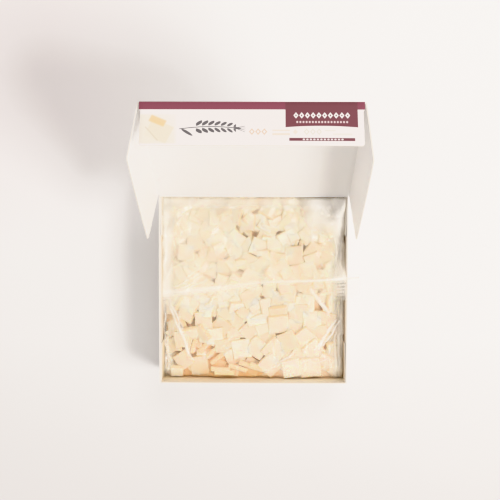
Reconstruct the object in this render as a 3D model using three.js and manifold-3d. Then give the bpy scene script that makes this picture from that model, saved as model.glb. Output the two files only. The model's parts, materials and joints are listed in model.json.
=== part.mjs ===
// Communion bread: a square white paperboard carton with its hinged lid open, and in it a clear
// sealed bag of small flat bread squares. Millimetres, +Z up. The origin is the centre of the
// carton's underside, +Y points to the hinge at the back.

import * as THREE from 'three';
import { mergeVertices } from 'three/addons/utils/BufferGeometryUtils.js';
import Module from 'manifold-3d';

const wasm = await Module();
wasm.setup();

// --- Driving dimensions ------------------------------------------------------------------------

const BOARD = 0.6; // thickness of the folded paperboard
const GAP = 0.3; // clearance between neighbouring pieces

const TRAY = { width: 125, depth: 125, height: 48 };
const TAB = { length: 26, drop: 2.5 }; // glue tabs inside the side walls, below the rim

const LID_OPEN_DEG = 115.9; // from lying shut on the rim
const FLAP = { depth: 26.7, shoulder: 4.2, inset: 1.0, corner: 1.5 };
const EAR = { depth: 33, hingeTaper: 3.5, frontTaper: 4, corner: 2 };
const SPLAY_DEG = { left: 8.6, right: 5.9 }; // how far each ear leans out from square

const BAG = {
  side: 60.8, // half of its width and of its depth, clear of the glue tabs
  edgeHeight: 27.5, // where the bread meets the front and back walls, above the underside
  crown: 2.7, // how much higher the middle lies
  slump: { depth: 4, from: 52 }, // how far it sinks towards the side walls, and from which x
  sideRound: 0.04, // share by which the sides draw in at top and bottom
  cornerRound: 0.05, // share by which the four corners draw in
};
const LUMPS = [
  { height: 0.9, waveX: 11, waveY: 29, shift: 0.6 },
  { height: 0.7, waveX: -17, waveY: 9, shift: 1.9 },
];
const SQUARE = { side: 11, thick: 2.8, uneven: 0.06 }; // one piece of bread
const HEAP = {
  seed: 11,
  pitch: 8.9, // between the middles of neighbouring squares
  jitter: 0.25, // share of the pitch by which a square strays
  tiltDeg: 34, // most that a lying square leans
  onEdgeShare: 0.2, // share of squares that stand on edge
  onEdgeDeg: { least: 62, spread: 14 },
  sink: 0.6, // how deep the middle of a standing square lies below the heap's face
  lift: { least: 0.5, spread: 0.9 }, // how high that of a lying one is above it
};
const SEAL = {
  width: 15,
  middleY: -2.5,
  slope: 0.062, // how far it runs askew
  rise: 4.2, // its height above the heap's face
  crimps: 4,
  crimpDepth: 0.5,
};

const COLOURS = {
  board: { color: 0xf3efec, roughness: 0.75, metalness: 0 },
  bread: { color: 0xf7e6cc, roughness: 0.85, metalness: 0 },
};

// --- Values worked out from the dimensions above -------------------------------------------------

const halfWidth = TRAY.width / 2;
const halfDepth = TRAY.depth / 2;
const wallClear = halfWidth + GAP; // inner face of an ear when the lid is shut
const foldReach = TRAY.depth + GAP; // from the lid's hinge to the flap's fold

// --- Helpers -------------------------------------------------------------------------------------

function radians(degrees) {
  return THREE.MathUtils.degToRad(degrees);
}

function makeRandom(seed) {
  let state = seed;
  return () => {
    state = (state + 0x6d2b79f5) | 0;
    let t = Math.imul(state ^ (state >>> 15), 1 | state);
    t = (t + Math.imul(t ^ (t >>> 7), 61 | t)) ^ t;
    return ((t ^ (t >>> 14)) >>> 0) / 4294967296;
  };
}

function material(finish) {
  return new THREE.MeshStandardMaterial(finish);
}

function namedMesh(name, geometry, finish) {
  const mesh = new THREE.Mesh(geometry, material(finish));
  mesh.name = name;
  return mesh;
}

function box(low, high) {
  const size = new THREE.Vector3().subVectors(high, low);
  const middle = new THREE.Vector3().addVectors(low, high).multiplyScalar(0.5);
  return new THREE.BoxGeometry(size.x, size.y, size.z).translate(middle.x, middle.y, middle.z);
}

function toSolid(geometry) {
  const bare = geometry.clone();
  bare.deleteAttribute('normal');
  bare.deleteAttribute('uv');
  const merged = mergeVertices(bare, 1e-4);
  return new wasm.Manifold(
    new wasm.Mesh({
      numProp: 3,
      vertProperties: new Float32Array(merged.attributes.position.array),
      triVerts: new Uint32Array(merged.index.array),
    }),
  );
}

// Splits a fused mesh into its connected shells and keeps the largest, so that a pocket closed
// off inside it becomes solid and a loose scrap is dropped.
function outerShell(solid) {
  const mesh = solid.getMesh();
  const points = mesh.vertProperties;
  const corners = mesh.triVerts;
  const parent = Array.from({ length: points.length / 3 }, (_, i) => i);
  const root = (i) => {
    while (parent[i] !== i) {
      parent[i] = parent[parent[i]];
      i = parent[i];
    }
    return i;
  };
  for (let t = 0; t < corners.length; t += 3) {
    parent[root(corners[t])] = root(corners[t + 1]);
    parent[root(corners[t + 1])] = root(corners[t + 2]);
  }
  const shells = new Map();
  const [a, b, c] = [new THREE.Vector3(), new THREE.Vector3(), new THREE.Vector3()];
  for (let t = 0; t < corners.length; t += 3) {
    const key = root(corners[t]);
    const shell = shells.get(key) ?? { volume: 0, triangles: [] };
    a.fromArray(points, corners[t] * 3);
    b.fromArray(points, corners[t + 1] * 3);
    c.fromArray(points, corners[t + 2] * 3);
    shell.volume += a.dot(b.cross(c)) / 6;
    shell.triangles.push(corners[t], corners[t + 1], corners[t + 2]);
    shells.set(key, shell);
  }
  const largest = [...shells.values()].sort((p, q) => q.volume - p.volume)[0];
  const geometry = new THREE.BufferGeometry();
  geometry.setAttribute('position', new THREE.BufferAttribute(new Float32Array(points), 3));
  geometry.setIndex(largest.triangles);
  return geometry;
}

// A flat piece of board: the outline, thickened from z = 0 to z = BOARD.
function boardFrom(shape) {
  return new THREE.ExtrudeGeometry(shape, { depth: BOARD, bevelEnabled: false, curveSegments: 3 });
}

// --- The tray: floor, four walls and the glue tabs inside its corners ------------------------------

function trayGeometry() {
  const outside = box(
    new THREE.Vector3(-halfWidth, -halfDepth, 0),
    new THREE.Vector3(halfWidth, halfDepth, TRAY.height),
  );
  const inside = box(
    new THREE.Vector3(-halfWidth + BOARD, -halfDepth + BOARD, BOARD),
    new THREE.Vector3(halfWidth - BOARD, halfDepth - BOARD, TRAY.height + 1),
  );
  let tray = toSolid(outside).subtract(toSolid(inside));
  const sunk = 0.2; // how far a tab reaches into the wall, floor and end wall it is glued to
  const tabTop = TRAY.height - TAB.drop;
  for (const sideX of [-1, 1]) {
    for (const sideY of [-1, 1]) {
      const wallX = sideX * (halfWidth - BOARD + sunk);
      const faceX = sideX * (halfWidth - 2 * BOARD);
      const endY = sideY * (halfDepth - BOARD + sunk);
      const freeY = sideY * (halfDepth - BOARD - TAB.length);
      const tab = box(
        new THREE.Vector3(Math.min(wallX, faceX), Math.min(endY, freeY), BOARD - sunk),
        new THREE.Vector3(Math.max(wallX, faceX), Math.max(endY, freeY), tabTop),
      );
      tray = tray.add(toSolid(tab));
    }
  }
  return outerShell(tray);
}

// --- The lid and its flaps, drawn as if shut: hinge at y = 0, front at -y, inner face at z = 0 ------

function lidPanelGeometry() {
  const outline = new THREE.Shape([
    new THREE.Vector2(-halfWidth, -GAP),
    new THREE.Vector2(-halfWidth, GAP - foldReach),
    new THREE.Vector2(halfWidth, GAP - foldReach),
    new THREE.Vector2(halfWidth, -GAP),
  ]);
  return boardFrom(outline);
}

// The printed flap hangs from the lid's front fold, which lies at z = 0, y = 0 here.
function frontFlapGeometry() {
  const top = halfWidth - GAP;
  const side = top - FLAP.inset;
  const free = -FLAP.depth;
  const outline = new THREE.Shape();
  outline.moveTo(-top, -GAP);
  outline.lineTo(-top, -FLAP.shoulder);
  outline.lineTo(-side, -FLAP.shoulder - FLAP.inset);
  outline.lineTo(-side, free + FLAP.corner);
  outline.quadraticCurveTo(-side, free, -side + FLAP.corner, free);
  outline.lineTo(side - FLAP.corner, free);
  outline.quadraticCurveTo(side, free, side, free + FLAP.corner);
  outline.lineTo(side, -FLAP.shoulder - FLAP.inset);
  outline.lineTo(top, -FLAP.shoulder);
  outline.lineTo(top, -GAP);
  // The outline's y becomes z, and the thickness grows outwards, to -y.
  return boardFrom(outline).rotateX(Math.PI / 2);
}

// A side ear hangs from the lid's side fold, at x = 0, z = 0 here; sideX says on which side.
function earGeometry(sideX) {
  const start = -2 * GAP;
  const end = 2 * GAP - foldReach;
  const free = -EAR.depth;
  const outline = new THREE.Shape();
  outline.moveTo(start, -GAP);
  outline.lineTo(start - EAR.hingeTaper, free + EAR.corner);
  outline.quadraticCurveTo(start - EAR.hingeTaper, free, start - EAR.hingeTaper - EAR.corner, free);
  outline.lineTo(end + EAR.frontTaper + EAR.corner, free);
  outline.quadraticCurveTo(end + EAR.frontTaper, free, end + EAR.frontTaper, free + EAR.corner);
  outline.lineTo(end, -GAP);
  // The outline's x becomes y and its y becomes z; the thickness then grows along +x.
  const ear = boardFrom(outline);
  const turn = new THREE.Matrix4().makeBasis(
    new THREE.Vector3(0, 1, 0),
    new THREE.Vector3(0, 0, 1),
    new THREE.Vector3(1, 0, 0),
  );
  ear.applyMatrix4(turn);
  return sideX < 0 ? ear.translate(-BOARD, 0, 0) : ear;
}

// --- The bag of bread: a crowned core, bread squares in relief, and the folded-over seal ------------

function lumpAt(x, y) {
  let height = 0;
  for (const lump of LUMPS) {
    height += lump.height * Math.sin(x / lump.waveX + y / lump.waveY + lump.shift);
  }
  return height;
}

function heapTop(x, y) {
  const fallX = 1 - Math.abs(x / BAG.side) ** 3;
  const fallY = 1 - Math.abs(y / BAG.side) ** 3;
  const beyond = THREE.MathUtils.smoothstep(Math.abs(x), BAG.slump.from, BAG.side);
  return BAG.edgeHeight + BAG.crown * fallX * fallY + lumpAt(x, y) - BAG.slump.depth * beyond;
}

function coreGeometry() {
  const cells = 14;
  const layers = 3;
  const geometry = new THREE.BoxGeometry(2, 2, 2, cells, cells, layers);
  const place = geometry.attributes.position;
  const bottom = BOARD + GAP;
  const reach = BAG.side - SQUARE.thick / 2;
  for (let i = 0; i < place.count; i += 1) {
    const [u, v, w] = [place.getX(i), place.getY(i), place.getZ(i)];
    const draw = 1 - BAG.sideRound * w * w;
    const x = reach * u * draw * (1 - BAG.cornerRound * v ** 4);
    const y = reach * v * draw * (1 - BAG.cornerRound * u ** 4);
    const z = bottom + ((w + 1) / 2) * (heapTop(x, y) - bottom);
    place.setXYZ(i, x, y, z);
  }
  return geometry;
}

function unevenSide(random) {
  return SQUARE.side * (1 + SQUARE.uneven * (2 * random() - 1));
}

function breadSquare(random, x, y) {
  const onEdge = random() < HEAP.onEdgeShare;
  const lying = HEAP.tiltDeg * random() ** 1.4;
  const standing = HEAP.onEdgeDeg.least + HEAP.onEdgeDeg.spread * random();
  const lean = 2 * Math.PI * random();
  const leanAxis = new THREE.Vector3(Math.cos(lean), Math.sin(lean), 0);
  const lift = onEdge ? -HEAP.sink : HEAP.lift.least + HEAP.lift.spread * random();
  const square = new THREE.BoxGeometry(unevenSide(random), unevenSide(random), SQUARE.thick);
  square.rotateZ(2 * Math.PI * random());
  square.applyMatrix4(
    new THREE.Matrix4().makeRotationAxis(leanAxis, radians(onEdge ? standing : lying)),
  );
  square.translate(x, y, heapTop(x, y) + lift);
  return square;
}

function insideBag(geometry) {
  geometry.computeBoundingBox();
  const { min, max } = geometry.boundingBox;
  const reach = Math.max(-min.x, max.x, -min.y, max.y);
  return reach < BAG.side;
}

function squareSolids() {
  const random = makeRandom(HEAP.seed);
  const rows = Math.floor((2 * BAG.side) / HEAP.pitch);
  const solids = [];
  for (let row = 0; row < rows; row += 1) {
    for (let column = 0; column < rows; column += 1) {
      const stagger = row % 2 === 0 ? 0.25 : -0.25;
      const strayX = HEAP.jitter * (2 * random() - 1) + stagger;
      const strayY = HEAP.jitter * (2 * random() - 1);
      const x = (column - (rows - 1) / 2 + strayX) * HEAP.pitch;
      const y = (row - (rows - 1) / 2 + strayY) * HEAP.pitch;
      const square = breadSquare(random, x, y);
      if (insideBag(square)) {
        solids.push(toSolid(square));
      }
    }
  }
  return solids;
}

// The crimped seal lies across the middle of the heap, a little askew. Below its crimped top
// face the solid goes down into the core.
function sealGeometry() {
  const long = 24;
  const across = 2 * SEAL.crimps;
  const geometry = new THREE.BoxGeometry(2, 1, 1, long, across, 1);
  const place = geometry.attributes.position;
  const reach = BAG.side - 1;
  for (let i = 0; i < place.count; i += 1) {
    const x = reach * place.getX(i);
    const share = place.getY(i);
    const y = SEAL.middleY + SEAL.slope * x + share * SEAL.width;
    const crimp = SEAL.crimpDepth * Math.cos(2 * Math.PI * SEAL.crimps * share);
    const top = heapTop(x, y) + SEAL.rise + crimp;
    const z = place.getZ(i) > 0 ? top : BAG.edgeHeight / 2;
    place.setXYZ(i, x, y, z);
  }
  return geometry;
}

function bagGeometry() {
  const pieces = [toSolid(coreGeometry()), ...squareSolids(), toSolid(sealGeometry())];
  return outerShell(wasm.Manifold.union(pieces));
}

// --- Assembly ------------------------------------------------------------------------------------

function openLid() {
  const lid = new THREE.Group();
  lid.position.set(0, halfDepth, TRAY.height + GAP);
  lid.rotation.x = -radians(LID_OPEN_DEG);
  lid.add(namedMesh('lid_panel', lidPanelGeometry(), COLOURS.board));

  const flap = namedMesh('front_flap', frontFlapGeometry(), COLOURS.board);
  flap.position.set(0, -foldReach, 0);
  lid.add(flap);

  const left = namedMesh('ear_left', earGeometry(-1), COLOURS.board);
  left.position.set(-wallClear, 0, 0);
  left.rotation.y = radians(SPLAY_DEG.left);
  lid.add(left);

  const right = namedMesh('ear_right', earGeometry(1), COLOURS.board);
  right.position.set(wallClear, 0, 0);
  right.rotation.y = -radians(SPLAY_DEG.right);
  lid.add(right);
  return lid;
}

const communionBread = new THREE.Group();
communionBread.add(namedMesh('base_tray', trayGeometry(), COLOURS.board));
communionBread.add(namedMesh('bread_bag', bagGeometry(), COLOURS.bread));
communionBread.add(openLid());

export default communionBread;
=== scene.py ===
# %% [markdown]
# # Communion bread in its carton
# A square white paperboard carton stands open. Its lid leans back on one crease, with a printed
# front flap and two plain side ears. In the tray lies a clear bag, folded over on itself, full of
# small flat squares of pale bread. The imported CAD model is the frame: it gives every size and
# place below, and this script dresses it.

# %% Load the frame
import json
import math

import bmesh
import bpy
import numpy as np
from mathutils import Matrix, Vector


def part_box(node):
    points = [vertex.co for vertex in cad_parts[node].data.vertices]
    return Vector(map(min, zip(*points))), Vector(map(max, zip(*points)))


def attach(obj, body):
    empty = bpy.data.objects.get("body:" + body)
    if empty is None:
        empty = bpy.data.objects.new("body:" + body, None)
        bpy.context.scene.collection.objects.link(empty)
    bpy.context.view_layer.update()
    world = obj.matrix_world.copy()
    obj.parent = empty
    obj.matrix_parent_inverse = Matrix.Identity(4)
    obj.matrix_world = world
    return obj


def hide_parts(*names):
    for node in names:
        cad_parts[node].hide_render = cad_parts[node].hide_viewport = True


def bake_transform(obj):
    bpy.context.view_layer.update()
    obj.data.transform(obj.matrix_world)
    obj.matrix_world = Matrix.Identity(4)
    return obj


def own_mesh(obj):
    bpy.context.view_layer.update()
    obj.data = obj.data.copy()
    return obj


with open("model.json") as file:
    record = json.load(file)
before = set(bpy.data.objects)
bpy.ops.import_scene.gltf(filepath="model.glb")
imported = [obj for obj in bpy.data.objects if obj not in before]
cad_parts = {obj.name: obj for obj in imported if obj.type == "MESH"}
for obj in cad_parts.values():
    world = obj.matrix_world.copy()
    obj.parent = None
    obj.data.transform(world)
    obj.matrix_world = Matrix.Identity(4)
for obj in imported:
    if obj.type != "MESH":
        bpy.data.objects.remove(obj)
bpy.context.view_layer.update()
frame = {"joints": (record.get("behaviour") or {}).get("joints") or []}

# %% [markdown]
# ## Sizes
# Blender works in metres and a carton is drawn in millimetres, so MM turns one into the other.
# The tray's corners and the joints are read from the frame, so nothing has to be fitted later.

# %% Sizes from the frame
MM = 0.001
BOARD = 0.6 * MM
tray_low, tray_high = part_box("base_tray")
bag_low, bag_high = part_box("bread_bag")
RIM = tray_high.z
HALF = tray_high.x
joints = {joint["name"]: joint for joint in frame["joints"]}
HINGE = Vector(joints["lid_hinge"]["pos_m"])
FOLD = Vector(joints["flap_crease"]["pos_m"])
EAR_PIVOT = {side: Vector(joints[f"{side}_ear_crease"]["pos_m"]) for side in ("left", "right")}
LID_OPEN = math.radians(-joints["lid_hinge"]["range_deg"][0])
SPLAY = {side: math.radians(-joints[f"{side}_ear_crease"]["range_deg"][0]) for side in ("left", "right")}
LID_LONG = (FOLD - HINGE).length
EAR_SIDE = EAR_PIVOT["right"].x
print(f"rim {RIM / MM:.1f} mm, lid {LID_LONG / MM:.1f} mm long, open {math.degrees(LID_OPEN):.1f} degrees")

# The lid's own frame has x to the right, -y along the lid away from the hinge, z out of its outside.
LID = Matrix.Translation(HINGE) @ Matrix.Rotation(-LID_OPEN, 4, "X")

# %% [markdown]
# ## Camera
# The photo looks almost straight down from 0.76 m, a little from behind the carton's middle. Its
# place and turn were found by matching the carton's corners.
# The camera comes first, so that each later piece can be looked at through it.

# %% Camera
CAMERA_PLACE = Vector((6.25, 83.0, 759.7)) * MM
CAMERA_TURN = (-4.5, 0.69, 0.12)
FOCAL_PIXELS = 1079.1
IMAGE_PIXELS = 500

camera_data = bpy.data.cameras.new("photo_camera")
camera_data.sensor_width = 36
camera_data.lens = FOCAL_PIXELS / IMAGE_PIXELS * camera_data.sensor_width
camera = bpy.data.objects.new("photo_camera", camera_data)
camera.location = CAMERA_PLACE
camera.rotation_euler = [math.radians(angle) for angle in CAMERA_TURN]
bpy.context.scene.collection.objects.link(camera)
bpy.context.scene.camera = camera
print(f"camera {camera.location.z:.2f} m up, lens {camera_data.lens:.1f} mm")

# %% [markdown]
# ## Nodes and formulas
# Materials here are built from small sums on sockets. One helper adds a node and feeds it, and a
# thin wrapper lets a sum be written as a formula, which keeps the node trees readable.

# %% Add and feed nodes
def feed(tree, slot, value):
    """Sets an input to a value, or links it to a socket, a field or a node's first output."""
    value = getattr(value, "socket", value)
    if isinstance(value, bpy.types.Node):
        value = value.outputs[0]
    if isinstance(value, bpy.types.NodeSocket):
        tree.links.new(value, slot)
    else:
        slot.default_value = value


def set_inputs(tree, node, values):
    for name, value in values.items():
        feed(tree, node.inputs[name], value)


def add_node(tree, kind, *values, setup=None, **named):
    """A new node with its options, its first inputs fed in order and others fed by name."""
    node = tree.nodes.new(kind)
    for option, choice in (setup or {}).items():
        setattr(node, option, choice)
    for slot, value in zip(node.inputs, values):
        feed(tree, slot, value)
    set_inputs(tree, node, named)
    return node

# %% Formulas on sockets
class Field:
    """A number at every point of a surface, held as a node socket."""

    def __init__(self, tree, socket):
        self.tree = tree
        self.socket = socket

    def math(self, operation, *others, clamp=False):
        options = {"operation": operation, "use_clamp": clamp}
        node = add_node(self.tree, "ShaderNodeMath", self, *others, setup=options)
        return Field(self.tree, node.outputs[0])

    def __rsub__(self, number):
        node = add_node(self.tree, "ShaderNodeMath", number, self, setup={"operation": "SUBTRACT"})
        return Field(self.tree, node.outputs[0])

    def __add__(self, other):
        return self.math("ADD", other)

    def __sub__(self, other):
        return self.math("SUBTRACT", other)

    def __mul__(self, other):
        return self.math("MULTIPLY", other)

    def __truediv__(self, other):
        return self.math("DIVIDE", other)

    def clamp(self):
        return self.math("ADD", 0.0, clamp=True)

    def size(self):
        return self.math("ABSOLUTE")

    def repeat(self, pitch):
        """Distance from the middle of cells of this pitch, the first of them starting at 0."""
        return self.math("FLOORED_MODULO", pitch) - pitch / 2

    def above(self, edge, soft):
        """0 below the edge and 1 above it, with a soft step."""
        return ((self - edge) / soft + 0.5).clamp()

    def below(self, edge, soft):
        return ((self - edge) / (-soft) + 0.5).clamp()

    def between(self, low, high, soft):
        return self.above(low, soft) * self.below(high, soft)

    def turned(self, other, degrees):
        """This and another coordinate after a turn of the axes."""
        c, s = math.cos(math.radians(degrees)), math.sin(math.radians(degrees))
        return self * c + other * s, other * c - self * s

# %% Materials, coordinates and mixes
def new_material(name, roughness):
    """An empty Principled material, its tree and its shader."""
    material = bpy.data.materials.new(name)
    material.use_nodes = True
    tree = material.node_tree
    shader = tree.nodes["Principled BSDF"]
    shader.inputs["Roughness"].default_value = roughness
    return material, tree, shader


def coordinates(tree, kind="Object"):
    return tree.nodes.new("ShaderNodeTexCoord").outputs[kind]


def axes_of(tree, vector):
    """The three coordinates of a vector."""
    return [Field(tree, socket) for socket in add_node(tree, "ShaderNodeSeparateXYZ", vector).outputs]


def stored(tree, name):
    """A number that the mesh carries under this name."""
    node = add_node(tree, "ShaderNodeAttribute", setup={"attribute_name": name})
    return Field(tree, node.outputs["Fac"])


def noise(tree, vector, scale, detail=3.0, rough=0.5):
    node = add_node(tree, "ShaderNodeTexNoise", Vector=vector, Scale=scale, Detail=detail, Roughness=rough)
    return Field(tree, node.outputs[0])


def mix_colour(tree, amount, low, high):
    """Mixes two colours; each is a colour or a colour socket."""
    node = add_node(tree, "ShaderNodeMix", amount, setup={"data_type": "RGBA"})
    for slot, value in ((node.inputs[6], low), (node.inputs[7], high)):
        feed(tree, slot, (*value, 1.0) if isinstance(value, tuple) else value)
    return node.outputs[2]


def bump(tree, shader, height, distance):
    node = add_node(tree, "ShaderNodeBump", Strength=1.0, Distance=distance, Height=height)
    feed(tree, shader.inputs["Normal"], node)

# %% [markdown]
# ## Floor and light
# The photo was taken on white paper in a soft studio: one broad light from the right gives a
# wide pale shadow on the left, and light from all around fills it. Two area lights and a pale
# world do the same.

# %% Floor
FLOOR_REACH = 3.0


def paper_floor():
    """White paper, a little darker at the near edge as a painted falloff of the light, and in the far left
    corner as a painted shadow.
    """
    material, tree, shader = new_material("white_sweep", 0.8)
    place = coordinates(tree)
    x, y, _ = axes_of(tree, place)
    # Painted falloff of the light: darker towards the left, and more towards the near edge.
    painted_falloff = x * 0.9 + y * 1.9 + 0.5
    shade = mix_colour(tree, painted_falloff.clamp(), (0.745, 0.73, 0.72), (0.99, 0.985, 0.98))
    shade = mix_colour(tree, y.below(-0.11, 0.14), shade, (0.66, 0.64, 0.63))
    # Painted shadow in the far left corner, where the lid's shadow falls.
    painted_corner_shadow = (x * -1.0).above(0.08, 0.12) * y.above(0.07, 0.10)
    shade = mix_colour(tree, painted_corner_shadow * 0.5, shade, (0.74, 0.67, 0.67))
    shade = mix_colour(tree, noise(tree, place, 6.0) * 0.12, shade, (0.86, 0.85, 0.84))
    set_inputs(tree, shader, {"Base Color": shade, "Specular IOR Level": 0.2})
    mesh = bpy.data.meshes.new("floor")
    corners = [(-FLOOR_REACH, -FLOOR_REACH, 0), (FLOOR_REACH, -FLOOR_REACH, 0)]
    corners += [(FLOOR_REACH, FLOOR_REACH, 0), (-FLOOR_REACH, FLOOR_REACH, 0)]
    mesh.from_pydata(corners, [], [(0, 1, 2, 3)])
    mesh.materials.append(material)
    floor = bpy.data.objects.new("floor", mesh)
    bpy.context.scene.collection.objects.link(floor)
    print(f"floor {2 * FLOOR_REACH:.0f} m wide")


paper_floor()

# %% Lights
def area_light(name, place, target, size, power, colour):
    data = bpy.data.lights.new(name, "AREA")
    data.shape = "DISK"
    data.size = size
    data.energy = power
    data.color = colour
    light = bpy.data.objects.new(name, data)
    light.location = place
    light.rotation_euler = (Vector(target) - Vector(place)).to_track_quat("-Z", "Y").to_euler()
    bpy.context.scene.collection.objects.link(light)


area_light("key", (0.72, -0.31, 1.16), (0, 0, 0), 0.52, 13.5, (1.0, 0.995, 0.985))
area_light("top", (0.30, 0.85, 1.4), (0.1, 0.2, 0), 0.8, 6.5, (1.0, 1.0, 1.0))
area_light("fill", (-1.1, -0.2, 0.75), (0, 0.05, 0.05), 0.9, 1.6, (1.0, 0.96, 0.92))

world = bpy.data.worlds.new("studio")
world.use_nodes = True
world.node_tree.nodes["Background"].inputs[0].default_value = (1.0, 0.945, 0.905, 1.0)
world.node_tree.nodes["Background"].inputs[1].default_value = 0.63
bpy.context.scene.world = world
bpy.context.scene.view_settings.view_transform = "Khronos PBR Neutral"
print(f"{len(bpy.data.lights)} lights and a pale world")

# %% [markdown]
# ## Paperboard
# Carton board is wood fibre with a thin clay coat. The coat is white and slightly shiny, and the
# fibre shows where it was cut. Each panel is a grid of points on the middle of the board, given
# its thickness afterwards, so that it can bow a little as real board does.

# %% Board materials
def coated_board(name, colour, painted_bounce_colour=None):
    """White board; with painted_bounce_colour it warms from the tray's rim down, where bread lights it."""
    material, tree, shader = new_material(name, 0.5)
    place = coordinates(tree)
    cloud = noise(tree, place, 40.0, detail=2.0)
    fibre = noise(tree, place, 1400.0, detail=4.0, rough=0.6)
    darker = tuple(0.965 * part for part in colour)
    shade = mix_colour(tree, cloud * 0.6 + fibre * 0.4, colour, darker)
    if painted_bounce_colour:
        height = axes_of(tree, place)[2]
        shade = mix_colour(tree, height.below(RIM - 9 * MM, 10 * MM), shade, painted_bounce_colour)
    set_inputs(tree, shader, {"Base Color": shade, "Roughness": fibre * 0.14 + 0.42})
    bump(tree, shader, fibre, 0.02 * MM)
    return material


def cut_board(name):
    material, tree, shader = new_material(name, 0.85)
    fibre = noise(tree, coordinates(tree), 2600.0, detail=3.0, rough=0.7)
    set_inputs(tree, shader, {"Base Color": mix_colour(tree, fibre, (0.88, 0.85, 0.80), (0.76, 0.71, 0.64))})
    bump(tree, shader, fibre, 0.05 * MM)
    return material


SHEET_UNIT = 0.2  # metres of board in one unit of the map, so that a whole panel fits in it
inside_white = coated_board("board_inside", (0.935, 0.925, 0.915))
outside_white = coated_board("board_outside", (0.90, 0.885, 0.87))
# Painted light on the tray's inner walls: each warms towards the floor as painted bounce light from the
# bread, and the front wall is a darker tan copy as painted shade.
tray_side_inside = coated_board("tray_side_inside", (0.93, 0.91, 0.89), (0.93, 0.85, 0.72))
tray_front_inside_shaded = coated_board("tray_front_inside_shaded", (0.81, 0.74, 0.63), (0.90, 0.79, 0.61))
tray_back_inside = coated_board("tray_back_inside", (0.90, 0.87, 0.81), (0.92, 0.87, 0.78))
cut_edge = cut_board("board_cut_edge")
print(f"{len(bpy.data.materials)} materials so far")

# %% [markdown]
# ## Print on the flap
# The flap is offset printed in maroon, tan and charcoal. Print is only colour, so it belongs in
# the material: the sheet's own map gives each point's place in millimetres on the unfolded flap,
# and each shape is a formula of that place. The shapes are plain ones: a stripe, a tab with a row
# of lozenges, thin lines, a few squares of bread and an ear of wheat.

# %% Shapes for the print
PRINT_SOFT = 0.22  # mm over which a printed edge fades


def lozenge(u, v, wide, high):
    return (u.size() / wide + v.size() / high).below(1.0, PRINT_SOFT / min(wide, high))


def oval(u, v, wide, high):
    across, along = u / wide, v / high
    return (across * across + along * along).below(1.0, 2 * PRINT_SOFT / min(wide, high))


def bar(u, v, box):
    u0, v0, u1, v1 = box
    return u.between(u0, u1, PRINT_SOFT) * v.between(v0, v1, PRINT_SOFT)


def slanted(u, v, middle, size, degrees, soft=PRINT_SOFT):
    """A rectangle turned by some degrees, faded at its edges."""
    a, b = (u - middle[0]).turned(v - middle[1], degrees)
    return a.size().below(size[0] / 2, soft) * b.size().below(size[1] / 2, soft)

# %% Ear of wheat
def wheat(u, v):
    """An ear of wheat lying along u: a stem and pairs of grains that get smaller to its tip."""
    stem_u, stem_end, ear_start, pitch = -39.5, -5.0, -30.5, 3.4
    bend = ((u - stem_u) * 0.09).math("SINE") * 1.4
    off = v - 16.6 + bend
    stem = bar(u, off, (stem_u, -0.28, stem_end - 4.5, 0.28))
    small = ((u - ear_start) * -0.014 + 1.0).math("MAXIMUM", 0.35)
    cell = (u - ear_start).repeat(pitch)
    grains = None
    for side in (-1, 1):
        a, b = (cell / small).turned(off / small + side * 2.5, -side * 36)
        grain = oval(a, b, 2.6, 1.05)
        grains = grain if grains is None else grains.math("MAXIMUM", grain)
    tip = oval(u - stem_end + 3.0, off, 2.2, 0.7)
    beards = None
    for degrees in (-17, -6, 6, 17):
        a, b = (u - stem_end + 4.5).turned(off, degrees)
        beard = bar(a, b, (0.5, -0.16, 6.2, 0.16))
        beards = beard if beards is None else beards.math("MAXIMUM", beard)
    leaf_a, leaf_b = (u + 35.3).turned(off - 2.6, 38)
    leaf = oval(leaf_a, leaf_b, 4.0, 0.8)
    ear = grains * u.between(ear_start, stem_end - 3.5, PRINT_SOFT)
    return ear.math("MAXIMUM", stem).math("MAXIMUM", tip).math("MAXIMUM", beards).math("MAXIMUM", leaf)

# %% Colours and picture of the print
MAROON = (0.250, 0.074, 0.104)
MAROON_TAB = (0.190, 0.064, 0.078)
CHARCOAL = (0.075, 0.065, 0.070)
TAN = (0.66, 0.48, 0.33)
PALE_TAN = (0.78, 0.66, 0.52)
GREY_TAN = (0.66, 0.62, 0.54)
PAPER = (0.93, 0.90, 0.88)
STRIPE_DEEP = 4.6
TAB_BOX = (18.4, -1.4, 58.0, 14.7)
LOZENGE_FROM, LOZENGE_PITCH, LOZENGE_V = 22.6, 3.14, 8.2


def bread_picture(tree, u, v, shade):
    """A faded corner of squares of bread at the flap's left end."""
    faded = (u * 0.055 + v * -0.05 + 3.7).clamp() * -0.75 + 1.0
    window = u.between(-62.0, -41.5, 2.0) * v.between(7.6, 25.4, 1.2)
    shade = mix_colour(tree, window * faded * 0.8, shade, (0.82, 0.77, 0.68))
    for middle, size, degrees, colour, weight in (
        ((-50.5, 18.0), (13, 11), 24, (0.80, 0.73, 0.60), 0.75),
        ((-58.5, 20.5), (7, 12), -34, (0.84, 0.79, 0.70), 0.70),
        ((-51.5, 11.6), (9, 4.0), 24, (0.90, 0.66, 0.32), 0.75),
    ):
        shade = mix_colour(tree, slanted(u, v, middle, size, degrees, 0.9) * window * weight, shade, colour)
    edge = slanted(u, v, (-54.6, 19.5), (11.0, 0.7), 50, 0.5) * window * 0.5
    return mix_colour(tree, edge, shade, (0.55, 0.47, 0.36))

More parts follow.
